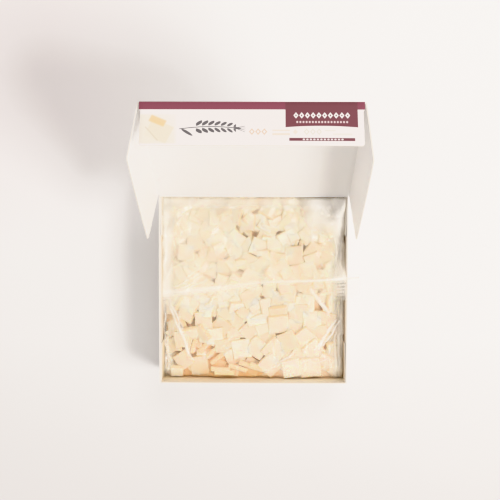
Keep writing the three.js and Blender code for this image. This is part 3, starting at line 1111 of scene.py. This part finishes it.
def fill_gaps():
    """Slips squares into the deepest gaps, where their edges go under the squares around them."""
    for _ in range(GAP_TRIES):
        x, y = thrown(GAP_THROWS)
        crests = np.minimum(map_at(x, y, spread_up(heights, GAP_REACH)), pile_top(x, y) + PROUD)
        deep = crests - map_at(x, y) - KEEP_OFF * map_at(x, y, taken)
        pick = int(np.argmax(deep))
        if deep[pick] < GAP_DEEP:
            return
        yaw = draw.uniform(0, 2 * math.pi)
        side = SQUARE_SIDE * draw.uniform(0.9, 1.2)
        px, py = inside_tray(x[pick], y[pick], yaw, side / 2, side / 2)
        du, dv = draw.uniform(-GAP_LEAN, GAP_LEAN, 2)
        level = crests[pick] - SLIP_UNDER - SQUARE_THICK
        if hidden_share(px, py, side) < TAKEN_SHARE:
            lay_square(px, py, yaw, du, dv, level, side)

# %% Make the pile
BED_BELOW = 1.7  # how far the bed stays below the outline
MISSES = 700

drop_squares(BED_BELOW + 0.8, MISSES, proud=-BED_BELOW, unrest=0.4)
below = len(squares)
for shown in SHOWN_SQUARES:
    lay_by_hand(*shown)
drop_squares(-0.4, MISSES, proud=PROUD, unrest=2.9)
dropped = len(squares)
fill_gaps()
print(f"{below} in the bed, {dropped} with those laid and dropped, {len(squares)} in all")
print(f"map {heights.min():.1f} to {heights.max():.1f} mm")

# %% [markdown]
# ## Squares by Geometry Nodes
# One square is a small slab with rounded edges. The points of the pile carry its turn, its size
# and a tone. A node tree puts a slab on each point, makes them real and pushes their skin about
# with noise, so that no two are alike. Copies in a Python loop would look the same, but a tree
# keeps the slab's sizes in a few inputs that can be changed.

# %% One square of bread
def bread_slab(tree, side, thickness):
    """A slab whose points are gathered near its edges: the faces stay flat and the edges round."""
    size = add_node(tree, "ShaderNodeCombineXYZ", side, side, thickness)
    slab = add_node(tree, "GeometryNodeMeshCube", size, 6, 6, 4)
    x, y, z = axes_of(tree, add_node(tree, "GeometryNodeInputPosition"))
    half_side = side * 0.5
    end_ring = (z.size() / (thickness * 0.5)).math("GREATER_THAN", 0.9)
    shrink = 1.0 - end_ring * 0.04
    spots = []
    for place in (x, y):
        part = place / half_side
        outward = 1.0 - (1.0 - part.size()).math("POWER", 2.3)
        spots.append(outward * part.math("SIGN") * half_side * shrink)
    gathered = add_node(tree, "ShaderNodeCombineXYZ", *spots, z * ((1.0 - end_ring) * 1.2 + 1.0))
    return add_node(tree, "GeometryNodeSetPosition", slab, Position=gathered)


def carried(tree, name, kind="FLOAT_VECTOR"):
    """What the points or faces carry under this name."""
    reader = add_node(tree, "GeometryNodeInputNamedAttribute", setup={"data_type": kind}, Name=name)
    return reader.outputs["Attribute"]


def pushed(tree, geometry, wave, amount):
    """Moves points by noise of a given wave length, different on each square."""
    shift = add_node(tree, "ShaderNodeCombineXYZ", Field(tree, carried(tree, "tone", "FLOAT")) * 3.7)
    place = add_node(tree, "GeometryNodeInputPosition")
    where = add_node(tree, "ShaderNodeVectorMath", place, shift, setup={"operation": "ADD"})
    cloud = add_node(tree, "ShaderNodeTexNoise", Vector=where, Scale=1.0 / wave, Detail=1.0)
    middle = (0.5, 0.5, 0.5)
    less = {"operation": "SUBTRACT"}
    centred = add_node(tree, "ShaderNodeVectorMath", cloud.outputs["Color"], middle, setup=less)
    offset = add_node(tree, "ShaderNodeVectorMath", centred, setup={"operation": "SCALE"}, Scale=amount)
    return add_node(tree, "GeometryNodeSetPosition", geometry, Offset=offset)

# %% Node tree for the squares
def bread_tree(material):
    tree = bpy.data.node_groups.new("bread_squares", "GeometryNodeTree")
    face = tree.interface
    face.new_socket("Geometry", in_out="INPUT", socket_type="NodeSocketGeometry")
    for name in ("Side", "Thickness", "Unevenness", "Waviness"):
        face.new_socket(name, in_out="INPUT", socket_type="NodeSocketFloat")
    face.new_socket("Geometry", in_out="OUTPUT", socket_type="NodeSocketGeometry")
    into = tree.nodes.new("NodeGroupInput").outputs
    slab = bread_slab(tree, Field(tree, into["Side"]), Field(tree, into["Thickness"]))

    # The cut sides are remembered, because they are darker than the baked faces.
    upright = axes_of(tree, add_node(tree, "GeometryNodeInputNormal"))[2].size()
    options = {"data_type": "FLOAT", "domain": "FACE"}
    marked = add_node(tree, "GeometryNodeStoreNamedAttribute", slab, setup=options)
    set_inputs(tree, marked, {"Name": "baked_face", "Value": upright})

    turn = add_node(tree, "FunctionNodeEulerToRotation", carried(tree, "turn"))
    spread = add_node(tree, "GeometryNodeInstanceOnPoints", into["Geometry"])
    set_inputs(tree, spread, {"Instance": marked, "Rotation": turn, "Scale": carried(tree, "grow")})
    real = add_node(tree, "GeometryNodeRealizeInstances", spread)
    waved = pushed(tree, real, 9.0 * MM, into["Waviness"])
    rough = pushed(tree, waved, 2.2 * MM, into["Unevenness"])
    smooth = add_node(tree, "GeometryNodeSetShadeSmooth", rough)
    painted = add_node(tree, "GeometryNodeSetMaterial", smooth, Material=material)
    feed(tree, tree.nodes.new("NodeGroupOutput").inputs[0], painted)
    return tree


def socket_named(tree, name):
    return next(item.identifier for item in tree.interface.items_tree if item.name == name)

# %% [markdown]
# ## Bread
# The squares are baked pale and cut afterwards: their faces are cream, each a little different,
# and their cut sides are golden. Light that gets into a gap is warmed by the crumb on its way, so
# how deep each point lies is stored on the mesh and warms the colour.

# %% Bread material
def bread_material():
    material, tree, shader = new_material("bread_crumb", 0.75)
    place = coordinates(tree)
    cloud = noise(tree, place, 160.0)
    crumb = noise(tree, place, 1500.0, detail=4.0, rough=0.65)
    face = mix_colour(tree, stored(tree, "tone"), (0.82, 0.67, 0.48), (0.95, 0.86, 0.71))
    base = mix_colour(tree, stored(tree, "baked_face").above(0.6, 0.3), (0.97, 0.74, 0.45), face)
    mottled = mix_colour(tree, (cloud - 0.45).clamp() * 1.6, base, (0.86, 0.72, 0.52))
    deep = mix_colour(tree, stored(tree, "sunk") * 0.9, mottled, (0.94, 0.57, 0.25))
    bump(tree, shader, crumb * 0.7 + cloud * 0.5, 0.12 * MM)
    set_inputs(tree, shader, {
        "Base Color": deep,
        "Specular IOR Level": 0.25,
        "Subsurface Weight": 0.45,
        "Subsurface Radius": (2.6 * MM, 1.5 * MM, 0.8 * MM),
        "Subsurface Scale": 1.0,
    })
    return material


bread_skin = bread_material()
print(f"bread: {len(bread_skin.node_tree.nodes)} nodes")

# %% Squares on the pile
def store(mesh, name, values, kind="FLOAT"):
    """Writes one value for each point of a mesh."""
    layer = mesh.attributes.new(name, kind, "POINT")
    layer.data.foreach_set("value" if kind == "FLOAT" else "vector", np.asarray(values).ravel())


def mark_depth(mesh):
    """Stores how deep each point lies in the pile."""
    points = np.empty(len(mesh.vertices) * 3, np.float32)
    mesh.vertices.foreach_get("co", points)
    x, y, z = points.reshape(-1, 3).T / MM
    store(mesh, "sunk", np.clip((pile_top(x, y) + 0.5 - z) / 3.6, 0, 1))


def bread_pile():
    mesh = bpy.data.meshes.new("bread_points")
    mesh.from_pydata([tuple(middle * MM) for middle, turn, size in squares], [], [])
    store(mesh, "turn", [tuple(turn.to_euler()) for middle, turn, size in squares], "FLOAT_VECTOR")
    store(mesh, "grow", [tuple(size) for middle, turn, size in squares], "FLOAT_VECTOR")
    store(mesh, "tone", draw.uniform(0, 1, len(squares)))
    piece = link_object("bread_squares", mesh)
    modifier = piece.modifiers.new("squares", "NODES")
    modifier.node_group = bread_tree(bread_skin)
    sizes = {"Side": SQUARE_SIDE, "Thickness": SQUARE_THICK, "Unevenness": 0.45, "Waviness": 2.8}
    for name, value in sizes.items():
        modifier[socket_named(modifier.node_group, name)] = value * MM
    made_plain(piece)
    mark_depth(piece.data)
    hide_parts("bread_bag")
    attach(piece, "base")


bread_pile()

# %% [markdown]
# ## Core of the pile
# Only the upper squares are real ones. Under them a plain lump of crumb fills the bag down to the
# tray's floor, with an uneven top, so that no gap shows the board below.

# %% Core of the pile
CORE_BELOW = 3.4  # how far the lump stays below the outline


def pile_core():
    x, y = np.meshgrid(np.linspace(-60.2, 60.2, 90), np.linspace(-61.2, 60.6, 90), indexing="ij")
    top = pile_top(x, y) - CORE_BELOW + 0.6 * np.sin(x / 1.9 + np.sin(y / 3.1)) * np.sin(y / 2.3)
    upper = np.stack([x, y, top], axis=-1) * MM
    lower = np.stack([x, y, np.full_like(x, 1.2)], axis=-1) * MM
    mesh = sheet_mesh("bread_core", upper, lower, (bread_skin,))
    mark_depth(mesh)
    piece = link_object("bread_core", mesh)
    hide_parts("bread_bag")
    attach(piece, "base")


pile_core()

# %% [markdown]
# ## Film
# The bag is thin clear film. It rests on the highest squares and spans the hollows between them,
# so its height is the pile's height map, spread sideways and smoothed. A cloth simulation would
# drape it too, but would not put the creases where they are in the photo.

# %% Film over the pile
FILM_SIDE, FILM_END = 60.9, 61.5  # half of its width and of its depth
FILM_STEP = 0.6
FILM_THICK = 0.05
SPAN, SOFTEN = 5, 4  # cells over which the film spans hollows, and is smoothed
LID_CLEAR = 48.15  # the shut lid is at 48.3


def blurred(values, cells):
    """Smooths a map with a bell of about that many cells."""
    kernel = np.exp(-0.5 * (np.arange(-3 * cells, 3 * cells + 1) / cells) ** 2)
    kernel /= kernel.sum()
    for axis in (0, 1):
        padding = [(3 * cells, 3 * cells) if axis == side else (0, 0) for side in (0, 1)]
        padded = np.pad(values, padding, mode="edge")
        values = np.apply_along_axis(lambda line: np.convolve(line, kernel, mode="valid"), axis, padded)
    return values


def sample_map(values, x, y):
    """Reads a map of the pile's cells at any points, linearly between cells."""
    i = np.clip((x - PILE_LEFT) / CELL, 0, values.shape[0] - 1.001)
    j = np.clip((y - PILE_FRONT) / CELL, 0, values.shape[1] - 1.001)
    i0, j0 = i.astype(int), j.astype(int)
    s, t = i - i0, j - j0
    near = values[i0, j0] * (1 - s) + values[i0 + 1, j0] * s
    far = values[i0, j0 + 1] * (1 - s) + values[i0 + 1, j0 + 1] * s
    return near * (1 - t) + far * t


film_rest = blurred(spread_up(heights, SPAN), SOFTEN)
film_columns = np.arange(-FILM_SIDE, FILM_SIDE + 0.01, FILM_STEP)
film_x, film_y = np.meshgrid(film_columns, np.arange(-FILM_END, FILM_END + 0.01, FILM_STEP), indexing="ij")


def between_tabs(x, y):
    """Widens the film to the bare wall where no glue tab is in its way."""
    return x * (1 + 0.011 * smooth_step(33.0 - np.abs(y), 0, 3))


print(f"film rests at {film_rest.min():.1f} to {film_rest.max():.1f} mm")

# %% [markdown]
# ## Creases in the film
# A crease is a small ridge along a line, and it looks whiter than the film round it. Lines listed
# here stand for the creases that show, and short ones at random for the many fine ones.

# %% Lines of the creases
# Each crease is a line from x, y to x, y, then its height, its width and its haze.
FRONT_CREASES = (
    # The first seven are painted highlights as well as creases: their high haze stands in for glints of the
    # light.
    (-59, -3.5, -41.5, -49, 1, 0.9, 1),
    (-57.2, -4, -47.5, -28, 0.9, 0.7, 0.6),
    (-53, -14, -43.5, -44, 0.6, 0.7, 0.65),
    (38, 1, 51, -19, 1, 0.9, 1.05),
    (56, -20.5, 43.5, -41.5, 0.9, 0.55, 1.5),
    (58.2, -22, 46.4, -40, 0.7, 0.45, 1.3),
    (53.2, -24, 42, -42.5, 0.6, 0.5, 1.2),
    (29, -41, 18, -50.5, 0.8, 0.7, 0.34),
    (18, -50.5, 6, -60, 0.8, 0.7, 0.34),
    (52.5, -20, 51.5, -58, 0.9, 0.7, 0.22),
    (55.5, -26, 55.8, -60, 1, 0.7, 0.3),
    (58.6, -14, 58.2, -60, 1.1, 0.7, 0.34),
    (-60.2, -10, -59.6, -58, 1, 0.7, 0.34),
    (-57.6, -28, -58.6, -60, 0.9, 0.6, 0.26),
    (42, -52, 52, -46.5, 0.6, 0.5, 0.3),
    (34, -49, 34.5, -60, 0.7, 0.5, 0.24),
)
BACK_CREASES = (
    (-52.5, 0, -36.5, 10.8, 1.1, 0.6, 0.4),
    (-51, -1.5, -33.5, 9.2, 0.9, 0.6, 0.34),
    (-49.5, 3, -38, 12.4, 0.8, 0.5, 0.3),
    (-46, -1.6, -30, 7.4, 0.7, 0.5, 0.26),
    # These two are a painted highlight on the pleat at the back right, as well as creases.
    (41.5, 56.2, 46.5, 54.2, 1, 0.9, 0.85),
    (46.5, 54.2, 49.5, 50.5, 0.9, 0.8, 0.6),
    (37.5, 3.5, 40, 14, 0.7, 0.5, 0.22),
    (49.5, 4, 45.5, 16.5, 0.8, 0.5, 0.28),
    (54, 6, 55, 34, 0.9, 0.7, 0.26),
    (58.5, 8, 58, 50, 1, 0.7, 0.28),
    (-59.5, 8, -59, 44, 1, 0.7, 0.2),
    (-30, 12, 26, 8.5, 0.6, 0.6, 0.1),
    (-12, 30, 20, 26, 0.5, 0.6, 0.08),
)
print(f"{len(FRONT_CREASES) + len(BACK_CREASES)} creases drawn by hand")

# %% Ridges along the lines
def creased(x, y, lines):
    """Height and haze that a set of creases adds at each point."""
    height, haze = np.zeros_like(x), np.zeros_like(x)
    for x0, y0, x1, y1, high, wide, haze_and_glint in lines:
        run = math.hypot(x1 - x0, y1 - y0)
        ux, uy = (x1 - x0) / run, (y1 - y0) / run
        along = np.clip((x - x0) * ux + (y - y0) * uy, 0, run)
        wander = 0.5 * np.sin(along / 4.1 + x0) + 0.25 * np.sin(along / 1.7 + y1)
        off = np.hypot(x - x0 - along * ux - wander * uy, y - y0 - along * uy + wander * ux)
        strong = np.sqrt(np.clip(4 * along / run * (1 - along / run), 0, 1)) * 0.8 + 0.2
        ridge = np.exp(-((off / wide) ** 2)) * strong
        height += high * ridge
        haze = np.maximum(haze, haze_and_glint * ridge * (0.75 + 0.25 * np.sin(along / 2.3 + y0)))
    return height, haze


def stray_creases(count, y_low, y_high, seed):
    """Short fine creases at random, most of them running away from the seal."""
    pick = np.random.default_rng(seed)
    lines = []
    for _ in range(count):
        x, y = pick.uniform(-58, 58), pick.uniform(y_low, y_high)
        angle = math.radians(pick.normal(90 if abs(x) > 40 else 60, 35))
        reach = pick.uniform(2.5, 9)
        dx, dy = reach * math.cos(angle), reach * math.sin(angle)
        lines.append((x - dx, y - dy, x + dx, y + dy, pick.uniform(0.2, 0.5), 0.55, pick.uniform(0.05, 0.22)))
    return tuple(lines)

# %% [markdown]
# ## Clear film
# What shows of film is haze and glints. Two numbers on each point say how it looks: haze is how
# much of the light it catches instead of letting it straight through, more where film lies double
# and on its creases, and milk is how white that haze is. On the brightest creases they are also a
# painted highlight, standing in for glints of the light. Plain haze only blurs what lies under it.

# %% Film material
def film_material(name, rough, through, shine, specular=0.5):
    material, tree, shader = new_material(name, rough)
    milk = stored(tree, "milk")
    place = coordinates(tree)
    cloud = noise(tree, place, 90.0)
    set_inputs(tree, shader, {
        "IOR": 1.5,
        "Specular IOR Level": specular,
        "Transmission Weight": (milk * -1.0 + 1.0).clamp() * through,
        "Base Color": mix_colour(tree, milk.clamp(), (0.98, 0.935, 0.845), (1.0, 0.975, 0.93)),
        "Coat Weight": shine,
        "Coat Roughness": 0.1,
        "Coat IOR": 1.6,
        "Alpha": (stored(tree, "haze") * (cloud * 0.7 + 0.65)).clamp(),
    })
    bump(tree, shader, noise(tree, place, 220.0, detail=2.0), 0.25 * MM)
    return material


clear_film = film_material("clear_film", 0.2, 0.0, 0.6)
hazy_film = film_material("hazy_film", 0.22, 0.8, 0.15, 0.3)

# %% Film over the bread
def film_piece(name, x, y, z, haze, material, milk=None):
    """A closed skin of film whose points carry their haze and how milky it is."""
    lower = np.stack([x, y, z], axis=-1) * MM
    upper = lower + np.array([0, 0, FILM_THICK * MM])
    mesh = sheet_mesh(name, upper, lower, (material,))
    for kind, values in (("haze", haze), ("milk", np.zeros_like(haze) if milk is None else milk)):
        store(mesh, kind, [values] * 2)
    piece = link_object(name, mesh)
    piece.visible_shadow = False  # clear film hardly shades what is under it
    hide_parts("bread_bag")
    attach(piece, "base")
    print(f"{name}: {len(mesh.polygons)} faces, top {upper[..., 2].max() / MM:.2f} mm")
    return piece


ABOVE_BREAD = 0.3
HELD_UP = 33.5


def cover_height(x, y):
    """Height of the bag's upper film before its creases. The right wall holds it up a little."""
    rest = sample_map(film_rest, x, y) + ABOVE_BREAD
    held = HELD_UP + 1.2 * np.sin(y / 8.0) + 0.8 * np.sin(x / 2.2 + y / 31)
    rest = np.maximum(rest, held * smooth_step(x, 48, 53))
    drop = 2.0 * smooth_step(np.maximum(np.abs(x), np.abs(y)), 59.8, 61.4) ** 2
    return rest - drop


def film_cover():
    height, haze = creased(film_x, film_y, FRONT_CREASES + stray_creases(46, -58, 0, 5))
    z = cover_height(film_x, film_y) + height
    edge = 0.10 * smooth_step(-film_x, 51.0, 58.0) + 0.42 * smooth_step(film_x, 52.0, 58.0)
    edge *= 0.75 + 0.25 * np.sin(film_x * 2.6 + film_y / 9)
    front = smooth_step(-film_y, 40, 52) * smooth_step(film_x, 2, 22)
    haze_and_glint = 0.07 + edge + haze + 0.2 * front * (0.75 + 0.25 * np.sin(film_x / 3.1 + film_y / 2.3))
    film_piece("film_cover", between_tabs(film_x, film_y), film_y, z, haze_and_glint, clear_film, haze)


film_cover()

# %% [markdown]
# ## Folded end and its seal
# The bag's open end was sealed flat, folded forwards over the bread and left lying there. So the
# rear half is covered by a second layer of film, which ends in a stiff crimped band across the
# middle. The band rests on the pile, rises to the right and pokes out over the tray's wall. All
# of it stays low enough for the lid to shut, so its highest places are flattened gently.

# %% Folded layer
SEAL_X, SEAL_Y = (-62, -29.5, 7, 38, 72), (-3.2, 0.1, 4.6, 6.2, 9.3)  # the band's rear edge
SEAL_WIDE = 15.0
SEAL_RISE_FROM, SEAL_RISE_TO = 12.0, 61.5
SEAL_TOP = 47.9  # just under the shut lid
LID_SOFT = 1.5  # mm below it from which the film is flattened
CRIMP_PITCH = 2.2
FOLD_ROWS = 125

# Where the film lies close to the bread: x, y, reach in x and y, share of haze that it lacks
CLEAR_PATCHES = (
    (-1.0, 34.0, 11, 8.5, 0.4),
    (28.0, 27.0, 9, 9, 0.4),
    (-17.0, 6.0, 13, 4, 0.25),
    (4.0, 24.0, 30, 20, 0.14),
)


def under_lid(z):
    """Flattens what would reach the shut lid, gently from a little way below it."""
    over = z - LID_CLEAR + LID_SOFT
    return np.where(over > 0, LID_CLEAR - LID_SOFT * np.exp(-np.clip(over, 0, None) / LID_SOFT), z)


def seal_line(x):
    return np.interp(x, SEAL_X, SEAL_Y)


def band_height(x):
    """Height of the stiff band along the seal."""
    rest = sample_map(film_rest, x, seal_line(x) - 4) + 2.0
    smooth_rest = np.interp(x, *settled_band)
    level = np.maximum(rest, smooth_rest)
    rising = smooth_rest + (SEAL_TOP - smooth_rest) * smooth_step(x, SEAL_RISE_FROM, SEAL_RISE_TO)
    return np.maximum(level, rising)


band_x = np.linspace(-61, 61, 62)
band_rest = sample_map(film_rest, band_x, seal_line(band_x) - 5)
kernel = np.hanning(21) / np.hanning(21).sum()
settled_band = (band_x, np.convolve(np.pad(band_rest, 10, mode="edge"), kernel, mode="valid") + 2.2)
print(f"band settles at {settled_band[1].min():.1f} to {settled_band[1].max():.1f} mm")

# %% Shape of the folded layer
def crimps(behind):
    return np.cos(2 * math.pi * behind / CRIMP_PITCH)


def stiff_corners(x, y):
    """Where the film stands up behind: a pleat at the right and a soft bulge at the left."""
    return smooth_step(x, 27, 42) * smooth_step(y, 30, 48), smooth_step(-x, 40, 54) * smooth_step(y, 18, 40)


def fold_height(x, y, behind):
    """It follows the film under it, and rises to the band at the seal."""
    lying = cover_height(x, y) + 0.9
    lying += 0.8 * np.sin(x / 7.3 + y / 11.0) ** 2 + 0.5 * np.sin(x / 3.1 - y / 4.7) ** 2
    in_band = 1 - smooth_step(behind, 0.0, 14.0)
    curl = 1.2 * smooth_step(-behind, 7.0, SEAL_WIDE) * (behind < 0)
    z = lying + (np.maximum(band_height(x), lying) - lying) * in_band
    z += 0.22 * crimps(behind) * (behind < 0.4) + curl
    pleat, bulge = stiff_corners(x, y)
    return z + 8.0 * pleat + 4.0 * bulge * (1 - smooth_step(y, 50, 58)) + 3.5 * smooth_step(y, 48, 57)

# %% Haze of the folded layer
def fold_haze(x, y, behind, haze):
    """Haze and milk: most along the seal's edge, at the walls and on the creases."""
    pleat, bulge = stiff_corners(x, y)
    edge_wide = 1.7 - 0.8 * smooth_step(x, 0, 45)
    edge = np.exp(-(((behind + 0.2) / edge_wide) ** 2)) * (0.55 + 0.45 * smooth_step(x, 0, 50))
    left_wide = 0.25 * np.exp(-(((behind + 1.5) / 2.4) ** 2)) * (1 - smooth_step(x, -30, 10))
    haze_and_glint = 0.40 + 0.12 * np.sin(x / 13 + 1.0) * np.sin(y / 9) + 0.10 * smooth_step(-x, 0, 26)
    for clear_x, clear_y, reach_x, reach_y, part in CLEAR_PATCHES:
        haze_and_glint -= part * np.exp(-(((x - clear_x) / reach_x) ** 2) - (((y - clear_y) / reach_y) ** 2))
    haze_and_glint += 0.9 * haze + 0.4 * smooth_step(y, 52, 58) + 0.4 * smooth_step(np.abs(x), 50, 58)
    # Over the pleat at the back right, haze and milk are partly the film's own and partly a painted
    # reflection that lightens the corner in the right ear's shadow.
    haze_and_glint += 0.38 * pleat + 0.3 * bulge
    fade = 1 - smooth_step(-behind, SEAL_WIDE - 8, SEAL_WIDE)
    crimp_haze = (0.12 + 0.3 * smooth_step(x, 34, 44)) * (0.5 + 0.5 * crimps(behind))
    band_veil = (0.09 + 0.12 * smooth_step(-x, -25, 10) + crimp_haze) * fade
    haze_and_glint = np.where(behind < 0, 0.04 + band_veil, haze_and_glint) + 0.6 * edge + left_wide
    milk = 0.15 * smooth_step(-x, 5, 30) + 0.6 * pleat + 0.7 * edge + 0.4 * left_wide + haze
    milk += 0.5 * smooth_step(np.abs(x), 52, 58) + 0.3 * smooth_step(y, 52, 58)
    return np.clip(haze_and_glint, 0.03, 0.95), np.clip(milk, 0, 1)


def film_fold():
    x = np.repeat(film_columns[:, None], FOLD_ROWS, axis=1)
    low = seal_line(film_columns) - SEAL_WIDE
    y = low[:, None] + (FILM_END - low)[:, None] * np.linspace(0, 1, FOLD_ROWS)[None, :]
    behind = y - seal_line(x)
    height, haze = creased(x, y, BACK_CREASES + stray_creases(60, 0, 58, 9))
    z = under_lid(fold_height(x, y, behind) + height)
    haze_and_glint, milk = fold_haze(x, y, behind, haze)
    film_piece("film_fold", between_tabs(x, y), y, z, haze_and_glint, hazy_film, milk)


film_fold()

# %% [markdown]
# ## Seal past the wall
# The right end of the seal lies on the tray's rim and hangs a little over the wall. It is a piece
# of its own, because the lid comes down beside it.

# %% Seal past the wall
TAIL_FROM, TAIL_TO = 59.6, 70.2
PAST_WALL = 63.6  # from here the end hangs free
ON_RIM = 0.12  # how far it lies above the rim


def film_tail():
    columns = np.linspace(TAIL_FROM, TAIL_TO, 24)
    share = np.linspace(0, 1, 22)
    x = np.repeat(columns[:, None], len(share), axis=1)
    wide = SEAL_WIDE * (1 - 0.15 * smooth_step(x, 63, TAIL_TO))
    y = seal_line(x) + 0.4 - (1 - share[None, :]) * wide
    behind = y - seal_line(x)
    droop = 1.4 * smooth_step(x, PAST_WALL, TAIL_TO + 4)
    loose = 0.04 + 0.3 * smooth_step(x, PAST_WALL, 66.0)
    z = RIM / MM + ON_RIM - droop + loose * crimps(behind)
    edge = np.exp(-(((behind + 0.1) / 0.7) ** 2))
    piece = film_piece("film_tail", x, y, z, 0.07 + 0.3 * edge, clear_film)
    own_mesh(piece)


film_tail()
